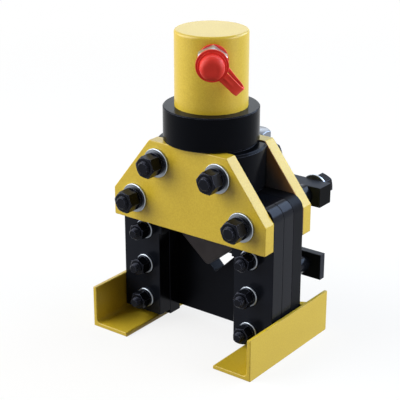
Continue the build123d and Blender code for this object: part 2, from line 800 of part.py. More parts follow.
pieces = {
    "cylinder_barrel": cylinder_barrel(),
    "cylinder_seat": cylinder_seat(),
    "guide_bush": guide_bush(),
    "rod_wiper": rod_wiper(),
    "ram_rod": ram_rod(),
    "piston": piston(),
    "piston_seal": piston_seal(),
    "return_spring": return_spring(),
    "moving_blade": moving_blade(),
    "blade_pin": blade_pin(),
    "front_plate": side_plate(-plate_face, -half_stack),
    "rear_plate": side_plate(half_stack, plate_face),
    "left_guide_bar": guide_bar(-1),
    "right_guide_bar": guide_bar(1),
    "left_spacer_bar": spacer_bar(-1),
    "right_spacer_bar": spacer_bar(1),
    "die_plate": die_plate(),
    "hold_down_bar": hold_down_bar(),
    "hold_down_screw": hold_down_screw(),
    "press_shoe": press_shoe(),
    "stock_rest": stock_rest(),
    "left_foot": foot(-1),
    "right_foot": foot(1),
    "port_nipple": port_nipple(),
    "hose_coupler": hose_coupler(),
    "coupler_poppet": coupler_poppet(),
    "dust_cap": dust_cap(),
    "cap_strap": cap_strap(),
    **main_fasteners(),
    **leg_fasteners(),
    "foot_screws": foot_screws(),
}

os.makedirs("parts", exist_ok=True)
for name, piece in pieces.items():
    export_step(Pos(0, -footprint_middle, 0) * piece, f"parts/{name}.step")
print(f"{len(pieces)} nodes, ram axis at y = {-footprint_middle:.2f}, height {barrel_top:.1f}")
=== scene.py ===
import json
import math

import bmesh
import bpy
from mathutils import Matrix, Vector


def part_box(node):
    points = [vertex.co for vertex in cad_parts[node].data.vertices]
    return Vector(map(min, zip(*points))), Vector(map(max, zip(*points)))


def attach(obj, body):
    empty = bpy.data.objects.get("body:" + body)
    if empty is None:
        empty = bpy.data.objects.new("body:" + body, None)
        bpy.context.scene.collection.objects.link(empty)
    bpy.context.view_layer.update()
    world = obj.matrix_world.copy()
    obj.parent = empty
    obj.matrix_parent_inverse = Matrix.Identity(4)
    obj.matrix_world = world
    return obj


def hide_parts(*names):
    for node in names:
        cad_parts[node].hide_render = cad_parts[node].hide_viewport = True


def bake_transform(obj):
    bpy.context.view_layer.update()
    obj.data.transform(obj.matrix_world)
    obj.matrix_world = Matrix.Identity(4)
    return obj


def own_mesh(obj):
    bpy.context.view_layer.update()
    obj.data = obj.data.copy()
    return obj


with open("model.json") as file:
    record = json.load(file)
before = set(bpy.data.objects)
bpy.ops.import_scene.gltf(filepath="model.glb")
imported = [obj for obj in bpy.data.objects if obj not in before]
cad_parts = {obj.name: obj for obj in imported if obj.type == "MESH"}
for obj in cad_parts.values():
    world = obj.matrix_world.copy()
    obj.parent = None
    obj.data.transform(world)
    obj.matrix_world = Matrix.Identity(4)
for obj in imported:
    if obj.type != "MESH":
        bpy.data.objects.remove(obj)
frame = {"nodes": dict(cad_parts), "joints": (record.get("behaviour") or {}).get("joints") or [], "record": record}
scene = bpy.context.scene
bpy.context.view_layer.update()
nodes = frame["nodes"]
joints = {joint["name"]: joint for joint in frame["joints"]}
couplings = {tie["joint"]: tie for tie in frame["record"]["behaviour"]["couplings"]}
mm = 0.001


# Small helpers

def linear(hexColour):
    channels = [int(hexColour[i:i + 2], 16) / 255 for i in (1, 3, 5)]
    return [c / 12.92 if c <= 0.04045 else ((c + 0.055) / 1.055) ** 2.4 for c in channels] + [1]


def perMetre(sizeMm):  # texture scale for a pattern whose features lie this far apart
    return 1 / (sizeMm * mm)


def middle(node):
    low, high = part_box(node)
    return (low + high) / 2


def reachAlong(node, axis):  # how far a node reaches along an axis, as least and most
    reach = [vertex.co.dot(axis) for vertex in nodes[node].data.vertices]
    return min(reach), max(reach)


def addNode(tree, kind, settings=None, inputs=None):
    # On a Mix node set to RGBA, input 0 is the share, 6 and 7 are the colours and output 2 is the mix.
    node = tree.nodes.new(kind)
    for name, value in (settings or {}).items():
        setattr(node, name, value)
    for name, value in (inputs or {}).items():
        if isinstance(value, bpy.types.NodeSocket):
            tree.links.new(value, node.inputs[name])
        else:
            node.inputs[name].default_value = value
    return node


def startMaterial(name, surface):
    material = bpy.data.materials.new(name)
    material.use_nodes = True
    shader = material.node_tree.nodes["Principled BSDF"]
    for socket, value in surface.items():
        shader.inputs[socket].default_value = value
    return material, material.node_tree, shader


def ringRow(z, sides, radiusAt):  # a closed ring of points round the z axis
    row = []
    for i in range(sides):
        angle = math.tau * i / sides
        r = radiusAt(angle)
        row.append(Vector((r * math.cos(angle), r * math.sin(angle), z)))
    return row


def loftRows(bm, rows):  # skins a run of closed rings and caps both ends
    rings = [[bm.verts.new(point) for point in row] for row in rows]
    count = len(rings[0])
    for low, high in zip(rings, rings[1:]):
        for i in range(count):
            j = (i + 1) % count
            bm.faces.new((low[i], low[j], high[j], high[i]))
    bm.faces.new(rings[0][::-1])
    bm.faces.new(rings[-1])


def shadeSmooth(mesh, sharpDegrees):
    mesh.polygons.foreach_set("use_smooth", [True] * len(mesh.polygons))
    mesh.set_sharp_from_angle(angle=math.radians(sharpDegrees))


def smoothMesh(name, bm, sharpDegrees=38):
    bmesh.ops.recalc_face_normals(bm, faces=bm.faces)
    mesh = bpy.data.meshes.new(name)
    bm.to_mesh(mesh)
    bm.free()
    shadeSmooth(mesh, sharpDegrees)
    return mesh


def joinedMesh(first, second):
    union = first.modifiers.new("join", "BOOLEAN")
    union.operation = "UNION"
    union.object = second
    bpy.context.view_layer.update()
    whole = bpy.data.meshes.new_from_object(first.evaluated_get(bpy.context.evaluated_depsgraph_get()))
    first.modifiers.remove(union)
    return whole


def addPiece(name, mesh, finish):
    piece = bpy.data.objects.new(name, mesh)
    scene.collection.objects.link(piece)
    mesh.materials.clear()
    mesh.materials.append(finish)
    return piece


# Finishes

# cosines of how far an eased edge has turned from its flat where its colour starts and where it is full
edgeTurn = (0.99, 0.85)


def edgeBand(tree, look):
    # Where the edges lie, up to the look's edgeShare, and the surface's direction with them eased.
    eased = addNode(tree, "ShaderNodeBevel", {"samples": 4}, {"Radius": look["edgeMm"] * mm})
    flat = addNode(tree, "ShaderNodeNewGeometry")
    facing = addNode(tree, "ShaderNodeVectorMath", {"operation": "DOT_PRODUCT"},
                     {0: eased.outputs[0], 1: flat.outputs["Normal"]})
    edge = addNode(tree, "ShaderNodeMapRange", None,
                   {"Value": facing.outputs["Value"], "From Min": edgeTurn[0], "From Max": edgeTurn[1],
                    "To Min": 0.0, "To Max": look["edgeShare"]})
    return edge.outputs[0], eased.outputs[0]


def squareTo(tree, axis):  # 1 on faces square to X, Y or Z, and 0 on faces along it
    facing = addNode(tree, "ShaderNodeTexCoord").outputs["Normal"]
    parts = addNode(tree, "ShaderNodeSeparateXYZ", None, {0: facing})
    return addNode(tree, "ShaderNodeMath", {"operation": "ABSOLUTE"}, {0: parts.outputs[axis]}).outputs[0]


def driftingTone(tree, place, look, detail, tones=("light", "deep")):
    # A colour that drifts between two tones from patch to patch, and the drift itself.
    drift = addNode(tree, "ShaderNodeTexNoise", None,
                    {"Vector": place, "Scale": perMetre(look["mottleMm"]), "Detail": detail})
    tone = addNode(tree, "ShaderNodeMix", {"data_type": "RGBA"},
                   {0: drift.outputs[0], 6: linear(look[tones[0]]), 7: linear(look[tones[1]])})
    return tone.outputs[2], drift.outputs[0]


def fineRelief(tree, shader, place, scale, detail, depthMm, eased=None):
    # Shallow marks all over, on top of the eased edges where there are any.
    marks = addNode(tree, "ShaderNodeTexNoise", None, {"Vector": place, "Scale": scale, "Detail": detail})
    relief = {"Height": marks.outputs[0], "Distance": depthMm * mm}
    if eased is not None:
        relief["Normal"] = eased
    bump = addNode(tree, "ShaderNodeBump", None, relief)
    tree.links.new(bump.outputs[0], shader.inputs["Normal"])


plateInnerShade = {  # painted shade on the plates' inner faces, which bolt against the columns: darker away from the sloping edge
    "shadeNearEdge": "#C29460",
    "shadeDeep": "#6E7076",
    "fadeMm": (1, 24),  # from the sloping edge
    "raggedMm": 5,
    "patchMm": 11,
    "clearMm": 10,  # an inner face lies further than this from the middle plane, and looks towards it
}


def shadedInnerFace(tree, innerShade):
    # Where a plate's inner face is, and its colour: painted shade, lighter near the sloping edge and darker away
    # from it.
    corners = [vertex.co for vertex in nodes["front_plate"].data.vertices]
    side, top = max(point.x for point in corners), max(point.z for point in corners)
    crown = Vector((max(point.x for point in corners if point.z > top - mm), 0, top))
    shoulder = Vector((side, 0, max(point.z for point in corners if point.x > side - mm)))
    slope = (shoulder - crown).normalized()
    place = addNode(tree, "ShaderNodeTexCoord")
    between = (middle("front_plate") + middle("rear_plate")) / 2
    across = addNode(tree, "ShaderNodeVectorMath", {"operation": "SUBTRACT"},
                     {0: place.outputs["Object"], 1: between})
    outward = addNode(tree, "ShaderNodeVectorMath", {"operation": "MULTIPLY"},
                      {0: across.outputs[0], 1: place.outputs["Normal"]})
    parts = addNode(tree, "ShaderNodeSeparateXYZ", None, {0: outward.outputs[0]})
    inner = addNode(tree, "ShaderNodeMath", {"operation": "LESS_THAN"},
                    {0: parts.outputs["Y"], 1: -innerShade["clearMm"] * mm})
    folded = addNode(tree, "ShaderNodeVectorMath", {"operation": "ABSOLUTE"}, {0: place.outputs["Object"]})
    fromCrown = addNode(tree, "ShaderNodeVectorMath", {"operation": "SUBTRACT"},
                        {0: folded.outputs[0], 1: crown})
    depth = addNode(tree, "ShaderNodeVectorMath", {"operation": "DOT_PRODUCT"},
                    {0: fromCrown.outputs[0], 1: (slope.z, 0, -slope.x)})
    patches = addNode(tree, "ShaderNodeTexNoise", None,
                      {"Vector": place.outputs["Object"], "Scale": perMetre(innerShade["patchMm"]), "Detail": 3})
    ragged = addNode(tree, "ShaderNodeMath", {"operation": "MULTIPLY_ADD"},
                     {0: patches.outputs[0], 1: innerShade["raggedMm"] * mm, 2: depth.outputs["Value"]})
    near, far = (reach * mm for reach in innerShade["fadeMm"])
    fade = addNode(tree, "ShaderNodeMapRange", {"interpolation_type": "SMOOTHSTEP"},
                   {"Value": ragged.outputs[0], "From Min": near, "From Max": far})
    innerShadeColour = addNode(tree, "ShaderNodeMix", {"data_type": "RGBA"},
                     {0: fade.outputs[0], 6: linear(innerShade["shadeNearEdge"]), 7: linear(innerShade["shadeDeep"])})
    return inner.outputs[0], innerShadeColour.outputs[2]


yellowEnamelLook = {
    "light": "#D3B834",
    "deep": "#C9AB2A",
    "mottleMm": 38,
    "edge": "#BE982F",
    "edgeShare": 0.7,
    "edgeMm": 0.8,
    "speck": "#7A6630",
    "speckSpacingMm": 19,
    "speckRadius": 0.02,  # share of the spacing
    "peelMm": 1.6,  # orange peel is nearer 1 mm, drawn coarser so that it shows
    "peelDepthMm": 0.03,
    "peelDeepens": 3.0,  # how much more its pits change the colour than the mottle does
    "roughness": 0.34,
    "specular": 0.5,
}


def yellowEnamel(name, look, innerShade=None):
    # Satin enamel sprayed on steel: even colour, faint orange peel, deeper along the edges.
    material, tree, shader = startMaterial(
        name, {"Roughness": look["roughness"], "Specular IOR Level": look["specular"]})
    place = addNode(tree, "ShaderNodeTexCoord").outputs["Object"]
    mottle = addNode(tree, "ShaderNodeTexNoise", None,
                     {"Vector": place, "Scale": perMetre(look["mottleMm"]), "Detail": 4})
    peel = addNode(tree, "ShaderNodeTexNoise", None,
                   {"Vector": place, "Scale": perMetre(look["peelMm"]), "Detail": 2})
    pitted = addNode(tree, "ShaderNodeMath", {"operation": "MULTIPLY_ADD"},
                     {0: peel.outputs[0], 1: look["peelDeepens"], 2: mottle.outputs[0]})
    shallow = look["peelDeepens"] / 2
    depth = addNode(tree, "ShaderNodeMapRange", None,
                    {"Value": pitted.outputs[0], "From Min": shallow, "From Max": 1 + shallow})
    body = addNode(tree, "ShaderNodeMix", {"data_type": "RGBA"},
                   {0: depth.outputs[0], 6: linear(look["light"]), 7: linear(look["deep"])})
    cells = addNode(tree, "ShaderNodeTexVoronoi", None,
                    {"Vector": place, "Scale": perMetre(look["speckSpacingMm"])})
    speck = addNode(tree, "ShaderNodeMath", {"operation": "LESS_THAN"},
                    {0: cells.outputs["Distance"], 1: look["speckRadius"]})
    specked = addNode(tree, "ShaderNodeMix", {"data_type": "RGBA"},
                      {0: speck.outputs[0], 6: body.outputs[2], 7: linear(look["speck"])})
    edge, eased = edgeBand(tree, look)
    colour = addNode(tree, "ShaderNodeMix", {"data_type": "RGBA"},
                     {0: edge, 6: specked.outputs[2], 7: linear(look["edge"])})
    # Painted shade on the plates' inner faces.
    if innerShade:
        inner, innerShadeColour = shadedInnerFace(tree, innerShade)
        colour = addNode(tree, "ShaderNodeMix", {"data_type": "RGBA"},
                         {0: inner, 6: colour.outputs[2], 7: innerShadeColour})
    bump = addNode(tree, "ShaderNodeBump", None,
                   {"Height": peel.outputs[0], "Distance": look["peelDepthMm"] * mm, "Normal": eased})
    tree.links.new(colour.outputs[2], shader.inputs["Base Color"])
    tree.links.new(bump.outputs[0], shader.inputs["Normal"])
    return material


oxideSheen = "#D8DFFF"  # a cool cast on what the oil film reflects
endTurn = 0.9  # a face as square to x as this, or more, takes the darker ends tone

# marks says along which of x, y and z the tool marks are drawn out, and ends is the darker tone of faces square to
# x
# edge is the tone along the edges: painted highlight, partly wear, and on milled parts painted shade
blackOxideLooks = {
    "blackOxideMilled": {
        "light": "#13161D", "deep": "#0A0C11", "mottleMm": 26,
        "edge": "#030405", "edgeShare": 0.9, "edgeMm": 0.6,
        "marks": (False, False, True), "marksMm": 0.7, "markLengthMm": 60, "depthMm": 0.005,
        "roughness": 0.19, "specular": 0.105,
    },
    "blackOxideTurned": {
        "light": "#0E1014", "deep": "#08090C", "mottleMm": 30,
        "edge": "#70768A", "edgeShare": 0.6, "edgeMm": 0.8,
        "marks": (True, True, False), "marksMm": 0.9, "markLengthMm": 400, "depthMm": 0.006,
        "roughness": 0.22, "specular": 0.036,
    },
    "blackOxideGround": {
        "light": "#13151A", "deep": "#0C0D11", "mottleMm": 24,
        "edge": "#4A4F5E", "edgeShare": 0.3, "edgeMm": 0.6,
        "marks": (False, False, True), "marksMm": 0.7, "markLengthMm": 60, "depthMm": 0.008,
        "roughness": 0.34, "specular": 0.045,
    },
    "blackOxideRolled": {
        "light": "#2A2E36", "deep": "#1F2228", "mottleMm": 18,
        "edge": "#4A4F5E", "edgeShare": 0.3, "edgeMm": 0.6,
        "marks": (True, False, False), "marksMm": 0.9, "markLengthMm": 40, "depthMm": 0.01,
        "roughness": 0.36, "specular": 0.06,
    },
    "blackOxideDarkEnds": {
        "light": "#3C414C", "deep": "#2C3038", "mottleMm": 18, "ends": "#040506",
        "edge": "#4A4F5E", "edgeShare": 0.3, "edgeMm": 0.6,
        "marks": (True, False, False), "marksMm": 0.9, "markLengthMm": 40, "depthMm": 0.01,
        "roughness": 0.36, "specular": 0.028,
    },
    "blackOxideForged": {
        "light": "#0E1017", "deep": "#07080B", "mottleMm": 7,
        "edge": "#7C839C", "edgeShare": 0.6, "edgeMm": 0.6,
        "marks": (False, False, False), "marksMm": 0.8, "markLengthMm": 4, "depthMm": 0.012,
        "roughness": 0.24, "specular": 0.115,
    },
}


def blackOxide(name, look):
    # Black oxide on machined or forged steel, lightly oiled: near black, with a cool sheen where it is seen
    # at a slant. Its edges carry painted highlight, partly wear, and on milled parts painted shade meant for the
    # seams where plates meet.
    # Tool marks are finer on the real one.
    material, tree, shader = startMaterial(
        name, {"Roughness": look["roughness"], "Specular IOR Level": look["specular"],
               "Specular Tint": linear(oxideSheen)})
    place = addNode(tree, "ShaderNodeTexCoord").outputs["Object"]
    body = driftingTone(tree, place, look, detail=5, tones=("deep", "light"))[0]
    # Faces square to x are drawn darker than the rest.
    if "ends" in look:
        endFace = addNode(tree, "ShaderNodeMath", {"operation": "GREATER_THAN"},
                       {0: squareTo(tree, "X"), 1: endTurn})
        body = addNode(tree, "ShaderNodeMix", {"data_type": "RGBA"},
                       {0: endFace.outputs[0], 6: body, 7: linear(look["ends"])}).outputs[2]
    edge, eased = edgeBand(tree, look)
    # Painted highlight along the edges, partly wear; on milled parts painted shade instead.
    colour = addNode(tree, "ShaderNodeMix", {"data_type": "RGBA"},
                     {0: edge, 6: body, 7: linear(look["edge"])})
    fine, drawn = perMetre(look["marksMm"]), perMetre(look["markLengthMm"])
    lines = addNode(tree, "ShaderNodeMapping", None,
                    {"Vector": place, "Scale": [drawn if along else fine for along in look["marks"]]})
    fineRelief(tree, shader, lines.outputs[0], scale=1.0, detail=3, depthMm=look["depthMm"], eased=eased)
    tree.links.new(colour.outputs[2], shader.inputs["Base Color"])
    return material


metalLooks = {
    "zincPlateBright": {
        "light": "#8F959E", "deep": "#737984", "mottleMm": 9,
        "roughness": (0.22, 0.36), "marksMm": 0.5, "depthMm": 0.008,
    },
    # its faces square to y carry a painted dark reflection
    "zincPlateDarkFace": {
        "light": "#BCC3CD", "deep": "#9BA3AE", "mottleMm": 8,
        "face": "#7E848D", "faceTurn": (0.8, 0.98),  # how square to y a face is where it starts and is full
        "roughness": (0.26, 0.4), "marksMm": 0.5, "depthMm": 0.008,
    },
    "nickelPlateSatin": {
        "light": "#CBD1D7", "deep": "#AEB6BE", "mottleMm": 9, "metallic": 0.85,
        "roughness": (0.24, 0.34), "marksMm": 0.5, "depthMm": 0.008,
    },
    "toolSteelGround": {
        "light": "#383536", "deep": "#272425", "mottleMm": 18,
        "roughness": (0.42, 0.55), "marksMm": 0.6, "depthMm": 0.02,
    },
    "rodSteelGround": {
        "light": "#C6C8CB", "deep": "#AEB1B5", "mottleMm": 14,
        "roughness": (0.16, 0.26), "marksMm": 0.5, "depthMm": 0.006,
    },
    "bronzeTurned": {
        "light": "#C08A4C", "deep": "#A4713A", "mottleMm": 12,
        "roughness": (0.3, 0.45), "marksMm": 0.6, "depthMm": 0.015,
    },
}


def bareMetal(name, look):
    # Plated, ground or turned metal: tone and gloss drift over the surface, with a fine grain that is
    # drawn coarser than the real one so that it shows.
    # Where a look gives face, the flat faces square to y are darker than the rim: a painted dark reflection.
    material, tree, shader = startMaterial(name, {"Metallic": look.get("metallic", 1.0)})
    place = addNode(tree, "ShaderNodeTexCoord").outputs["Object"]
    colour, drift = driftingTone(tree, place, look, detail=4)
    if "face" in look:
        start, full = look["faceTurn"]
        darkFace = addNode(tree, "ShaderNodeMapRange", None,
                         {"Value": squareTo(tree, "Y"), "From Min": start, "From Max": full})
        colour = addNode(tree, "ShaderNodeMix", {"data_type": "RGBA"},
                         {0: darkFace.outputs[0], 6: colour, 7: linear(look["face"])}).outputs[2]
    bright, dull = look["roughness"]
    gloss = addNode(tree, "ShaderNodeMapRange", None, {"Value": drift, "To Min": bright, "To Max": dull})
    fineRelief(tree, shader, place, perMetre(look["marksMm"]), detail=2, depthMm=look["depthMm"])
    tree.links.new(colour, shader.inputs["Base Color"])
    tree.links.new(gloss.outputs[0], shader.inputs["Roughness"])
    return material


plasticLooks = {
    "redVinylDipped": {
        "light": "#E03E35", "deep": "#CE322A", "mottleMm": 7,
        "roughness": 0.45, "specular": 0.18, "grainMm": 0.8, "depthMm": 0.02,
    },
    # a lighter copy of the cap's vinyl for the strap: painted light
    "redVinylBandLit": {
        "light": "#EE4A3E", "deep": "#DE3C31", "mottleMm": 7,
        "roughness": 0.45, "specular": 0.18, "grainMm": 0.8, "depthMm": 0.02,
    },
    "nitrileMoulded": {
        "light": "#1D1D1D", "deep": "#131313", "mottleMm": 6,
        "roughness": 0.7, "specular": 0.4, "grainMm": 0.6, "depthMm": 0.02,
    },
}


def softPlastic(name, look):
    # Dipped vinyl or moulded rubber: deep even colour, broad soft highlights, and a faint skin texture,
    # drawn coarser than the real one so that it shows.
    material, tree, shader = startMaterial(
        name, {"Roughness": look["roughness"], "Specular IOR Level": look["specular"]})
    place = addNode(tree, "ShaderNodeTexCoord").outputs["Object"]
    colour = driftingTone(tree, place, look, detail=3)[0]
    fineRelief(tree, shader, place, perMetre(look["grainMm"]), detail=2, depthMm=look["depthMm"])
    tree.links.new(colour, shader.inputs["Base Color"])
    return material


enamel = yellowEnamel("yellowEnamelSprayed", yellowEnamelLook)
plateEnamel = yellowEnamel("yellowEnamelShadedInside", yellowEnamelLook, plateInnerShade)
oxide = {name: blackOxide(name, look) for name, look in blackOxideLooks.items()}
metal = {name: bareMetal(name, look) for name, look in metalLooks.items()}
plastic = {name: softPlastic(name, look) for name, look in plasticLooks.items()}

finishOfSlot = {
    "yellow_enamel": enamel, "black_steel": oxide["blackOxideMilled"],
    "tool_steel": metal["toolSteelGround"], "zinc_steel": metal["zincPlateBright"],
    "bright_steel": metal["rodSteelGround"], "bronze": metal["bronzeTurned"],
    "nitrile_rubber": plastic["nitrileMoulded"], "red_plastic": plastic["redVinylDipped"],
}
finishOfEnding = {  # by the last word of a node's name
    "nuts": oxide["blackOxideForged"], "locks": oxide["blackOxideForged"],
    "studs": oxide["blackOxideForged"], "washers": metal["zincPlateDarkFace"],
}
finishOfNode = {
    "front_plate": plateEnamel, "rear_plate": plateEnamel,
    "cylinder_seat": oxide["blackOxideTurned"], "die_plate": oxide["blackOxideGround"],
    "hold_down_bar": oxide["blackOxideDarkEnds"], "stock_rest": oxide["blackOxideRolled"],
    "hose_coupler": metal["nickelPlateSatin"], "port_nipple": metal["nickelPlateSatin"],
}
for subpart in frame["record"]["subparts"]:
    name = subpart["node"]
    finish = finishOfSlot[subpart["material_slot"]]
    finish = finishOfEnding.get(name.split("_")[-1], finish)
    finish = finishOfNode.get(name, finish)
    nodes[name].data.materials.clear()
    nodes[name].data.materials.append(finish)
print("finishes set:", len(bpy.data.materials), "materials")


# Screw threads

threadForm = {
    "depth": 0.61,  # of the pitch, as on a metric thread
    "flat": 0.15,  # share of that depth by which crest and root are each cut off flat
}

studThread = {
    "main": {"nodes": ["upper_studs", "lower_studs"], "pitchMm": 2.0, "shownMm": 6.0, "tipMm": 1.6},
    "leg": {"nodes": ["short_leg_studs", "long_leg_studs"], "pitchMm": 1.75, "shownMm": 10.0, "tipMm": 1.4},
    "rowsPerTurn": 9,
    "sides": 40,
}


def threadGroove(phase):  # 0 along the crest, 1 along the root, both a little flat
    wave = 1 - 2 * abs((phase / math.tau) % 1 - 0.5)
    return min(max((1 + 2 * threadForm["flat"]) * wave - threadForm["flat"], 0), 1)


def threadedRow(z, radius, pitch, sides, limit):
    def radiusAt(angle):
        groove = threadGroove(math.tau * z / pitch - angle)
        return min(radius - threadForm["depth"] * pitch * groove, limit)

    return ringRow(z, sides, radiusAt)


def threadedStud(bm, place, length, radius, look):
    # Threaded at both ends, where it shows past the nut, and plain between.
    pitch, tip = look["pitchMm"] * mm, look["tipMm"] * mm
    step = pitch / studThread["rowsPerTurn"]
    end = [i * step for i in range(int(look["shownMm"] * mm / step) + 1)]
    shank = radius - threadForm["depth"] * pitch
    runs = [(z, radius) for z in end] + [(end[-1] + step, shank), (length - end[-1] - step, shank)]
    runs += [(length - z, radius) for z in reversed(end)]
    rows = []
    for z, r in runs:
        limit = min(r, radius - tip + min(z, length - z))
        rows.append(threadedRow(z, radius, pitch, studThread["sides"], limit))
    loftRows(bm, [[place @ point for point in row] for row in rows])


def addStuds(kind):
    look = studThread[kind]
    low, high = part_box(look["nodes"][1])  # one level only, so its height is the diameter
    radius = (high.z - low.z) / 2
    for node in look["nodes"]:
        low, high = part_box(node)
        bm = bmesh.new()
        levels = [low.z + radius]
        if high.z - low.z > 3 * radius:  # too high for one level
            levels.append(high.z - radius)
        for x in (low.x + radius, high.x - radius):
            for z in levels:
                place = Matrix.Translation((x, low.y, z)) @ Matrix.Rotation(-math.pi / 2, 4, "X")
                threadedStud(bm, place, high.y - low.y, radius, look)
        piece = addPiece(f"{node}_threaded", smoothMesh(node, bm), oxide["blackOxideForged"])
        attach(piece, "frame")
        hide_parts(node)


addStuds("main")
addStuds("leg")
print("stud threads cut")


holdDownScrew = {
    "shankMm": 20,
    "pointMm": 2.2,
    "runOutMm": 6,
    "neckMm": 14,
    "neckLengthMm": 8,
    "neckBevelMm": 1,
    "headAcrossFlatsMm": 30,
    "headHeightMm": 13,
    "headFlat": 0.475,  # radius turned flat on each end of the head, as a share of the width across flats
    "headBevelDegrees": 30,
    "headBevelRows": 6,
    "rowsPerTurn": 7,
    "sides": 48,
}


def hexRow(z, acrossFlats, limit, sides):
    def radiusAt(angle):
        fromFlat = (angle + math.pi / 6) % (math.pi / 3) - math.pi / 6
        return min(acrossFlats / 2 / math.cos(fromFlat), limit)

    return ringRow(z, sides, radiusAt)


def addHoldDownScrew(look):
    low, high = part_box("hold_down_screw")
    pitch = couplings["hold_down_feed"]["ratio"] * math.tau  # what one turn feeds
    sides, shank, neck = look["sides"], look["shankMm"] / 2 * mm, look["neckMm"] / 2 * mm
    neckTop, neckBevel = look["neckLengthMm"] * mm, look["neckBevelMm"] * mm
    headHeight = look["headHeightMm"] * mm
    headFoot = high.z - low.z - headHeight
    across = look["headAcrossFlatsMm"] * mm

    plainRuns = ((0, neck - neckBevel), (neckBevel, neck), (neckTop, neck))
    rows = [ringRow(z, sides, lambda angle: r) for z, r in plainRuns]
    step = pitch / look["rowsPerTurn"]
    threadTop = headFoot - look["runOutMm"] * mm
    for i in range(int((threadTop - neckTop) / step) + 1):
        point = shank - look["pointMm"] * mm + i * step
        rows.append(threadedRow(neckTop + i * step, shank, pitch, sides, min(shank, point)))
    plain = shank - threadForm["depth"] * pitch / 2
    rows += [ringRow(z, sides, lambda angle: plain) for z in (threadTop + step, headFoot)]

    flat = look["headFlat"] * across
    steepness = math.tan(math.radians(look["headBevelDegrees"]))
    bevel = (across / math.sqrt(3) - flat) * steepness
    rise = [bevel * i / look["headBevelRows"] for i in range(look["headBevelRows"] + 1)]
    for z in rise + [headHeight - r for r in reversed(rise)]:
        fromEnd = min(z, headHeight - z)
        rows.append(hexRow(headFoot + z, across, flat + fromEnd / steepness, sides))

    place = Matrix.Translation((middle("hold_down_screw").x, middle("hold_down_screw").y, low.z))
    bm = bmesh.new()
    loftRows(bm, [[place @ point for point in row] for row in rows])
    mesh = smoothMesh("holdDownScrew", bm)
    piece = addPiece("hold_down_screw_threaded", mesh, metal["zincPlateBright"])
    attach(piece, "hold_down_screw")
    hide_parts("hold_down_screw")


addHoldDownScrew(holdDownScrew)
print("hold-down screw threaded")


# Return spring inside the cylinder, wound at one length; the real one shortens as the blade goes down

returnSpring = {
    "wireMm": 6,
    "turns": 6,
    "closing": 0.55,  # how far the end turns close up
    "stepsPerTurn": 40,
    "sides": 12,
    "sharpDegrees": 60,
}


def addReturnSpring(look):
    low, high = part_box("return_spring")
    centre = middle("return_spring")
    wire = look["wireMm"] / 2 * mm
    radius = (high.x - low.x) / 2 - wire
    height = high.z - low.z - 2 * wire
    count = look["turns"] * look["stepsPerTurn"]
    nearby = 1e-4  # a short way along the wire, which gives its direction

    def pathPoint(t):
        angle = math.tau * look["turns"] * t
        closed = look["closing"] * height / look["turns"] * math.sin(math.tau * t) / 2
        z = low.z + wire + height * t - closed
        return Vector((centre.x + radius * math.cos(angle), centre.y + radius * math.sin(angle), z))

    rows = []
    for i in range(count + 1):
        t = i / count
        point = pathPoint(t)
        way = (pathPoint(t + nearby) - pathPoint(t - nearby)).normalized()
        outward = Vector((point.x - centre.x, point.y - centre.y, 0)).normalized()
        across = way.cross(outward).normalized()
        turns = [math.tau * k / look["sides"] for k in range(look["sides"])]
        rows.append([point + wire * (outward * math.cos(a) + across * math.sin(a)) for a in turns])
    bm = bmesh.new()
    loftRows(bm, rows)
    mesh = smoothMesh("returnSpring", bm, look["sharpDegrees"])
    piece = addPiece("return_spring_wound", mesh, metal["rodSteelGround"])
    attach(piece, "frame")
    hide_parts("return_spring")
    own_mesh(piece)


addReturnSpring(returnSpring)
print("return spring wound")


# Dust cap strap: a soft band from the cap's flange, folded back to a ring behind the hexagon

capStrap = {
    "droop": 47,  # degrees below level
    "tabEdgesMm": (-6.0, 6.6),  # its two edges under the flange, from the middle line
    "foldEdgesMm": (-5.2, 7.0),  # where the fold begins
    "backEdgesMm": (2.6, 7.1),  # where the fold ends and the narrow run to the ring begins
    "ringEdgesMm": (4.8, 9.0),  # where it joins the ring
    "thicknessMm": 2.4,
    "cadThicknessMm": 2.2,
    "startMm": 15,  # under the flange
    "foldMm": 33,
    "ringEndMm": 13.5,
    "ringOuterMm": 33.8,
    "ringBoreMm": 21.6,
    "ringPushMm": 2.0,  # to one side
    "cornerMm": 0.6,
    "ribMm": 0.45,
    "ribForm": ((0.8, 0), (0.2, 0), (0.08, 1), (-0.12, 1), (-0.24, 0), (-0.8, 0)),  # shares across and up
    "ribFade": 0.25,  # share of the tab over which the rib runs out
    "tabRows": 8,
    "foldRows": 24,
    "backRows": 12,
    "ringRows": 72,
    "sharpDegrees": 50,
}


def strapSection(look, width, ribShare=0.0):
    # Points round the band's section, as (across, out), with a rib along its outer face.
    thick, corner = look["thicknessMm"] * mm, look["cornerMm"] * mm
    rib = ribShare * look["ribMm"] * mm
    half, deep = width / 2 - corner, thick / 2 - corner
    section = []
    for across, out, start in ((half, deep, 0), (-half, deep, 90), (-half, -deep, 180), (half, -deep, 270)):
        if start == 90:  # along the outer face, between its two corners
            section += [(share * half, thick / 2 + rib * high) for share, high in look["ribForm"]]
        for step in (0, 30, 60, 90):  # degrees round each corner
            angle = math.radians(start + step)
            section.append((across + corner * math.cos(angle), out + corner * math.sin(angle)))
    return section


def strapPlace(look):
    # The strap's directions, the point they start from, and the middle and radius of its fold.
    axis = Vector(joints["dust_cap_pull"]["axis"]).normalized()
    level = Vector((-axis.y, axis.x, 0))
    droop = math.radians(look["droop"])
    down = level * math.cos(droop) - Vector((0, 0, 1)) * math.sin(droop)
    barrel, coupler = middle("cylinder_barrel"), middle("hose_coupler")
    root = Vector((barrel.x, barrel.y, coupler.z))
    least, most = (reach - root.dot(axis) for reach in reachAlong("cap_strap", axis))
    radius = (most - least - look["cadThicknessMm"] * mm) / 2
    return {"axis": axis, "down": down, "side": axis.cross(down), "root": root,
            "mid": (least + most) / 2, "radius": radius}


